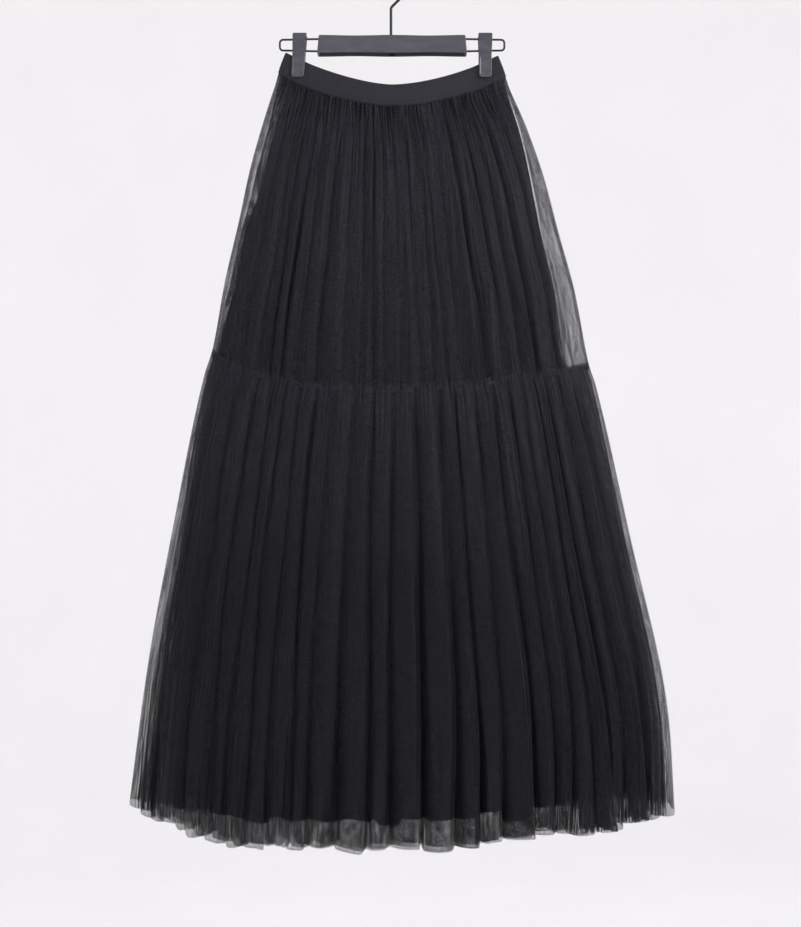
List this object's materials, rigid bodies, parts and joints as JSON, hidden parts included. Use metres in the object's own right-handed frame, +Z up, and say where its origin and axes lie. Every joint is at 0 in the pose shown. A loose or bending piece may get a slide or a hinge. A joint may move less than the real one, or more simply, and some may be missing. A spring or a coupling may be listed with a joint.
{
  "type": "tulle skirt on a clip hanger",
  "caption": "Two-tier gathered tulle maxi skirt with a plain waistband over an opaque lining, hung flat by two clips of a wire and board hanger.",
  "frame": {"origin": "the point inside the top of the hanger's hook where a rail carries it", "axes": "+Z up, +X to the right seen from the front, front of the skirt towards -Y"},
  "size_m": [0.6341, 0.2012, 1.0276],
  "materials": {
    "waistband": "knitted elastic band, dyed black",
    "tulle": "fine nylon net in gathered plies, dyed black",
    "lining": "opaque inner layers, dyed black",
    "plastic": "moulded, satin, dark grey",
    "wire": "steel wire with black enamel"
  },
  "bodies": {
    "root": {"waistband_front": "waistband", "waistband_back": "waistband", "upper_tier_front": "tulle", "upper_tier_back": "tulle", "tier_seam_front": "tulle", "tier_seam_back": "tulle", "lower_tier_front": "tulle", "lower_tier_back": "tulle", "lining_upper_front": "lining", "lining_upper_back": "lining", "lining_middle_front": "lining", "lining_middle_back": "lining", "lining_lower_front": "lining", "lining_lower_back": "lining", "hanger_hook": "wire", "hanger_end_left": "wire", "hanger_end_right": "wire", "hanger_board": "plastic", "clip_left_front": "plastic", "clip_left_back": "plastic", "clip_left_spring": "wire", "clip_right_front": "plastic", "clip_right_back": "plastic", "clip_right_spring": "wire"}
  },
  "joints": []
}
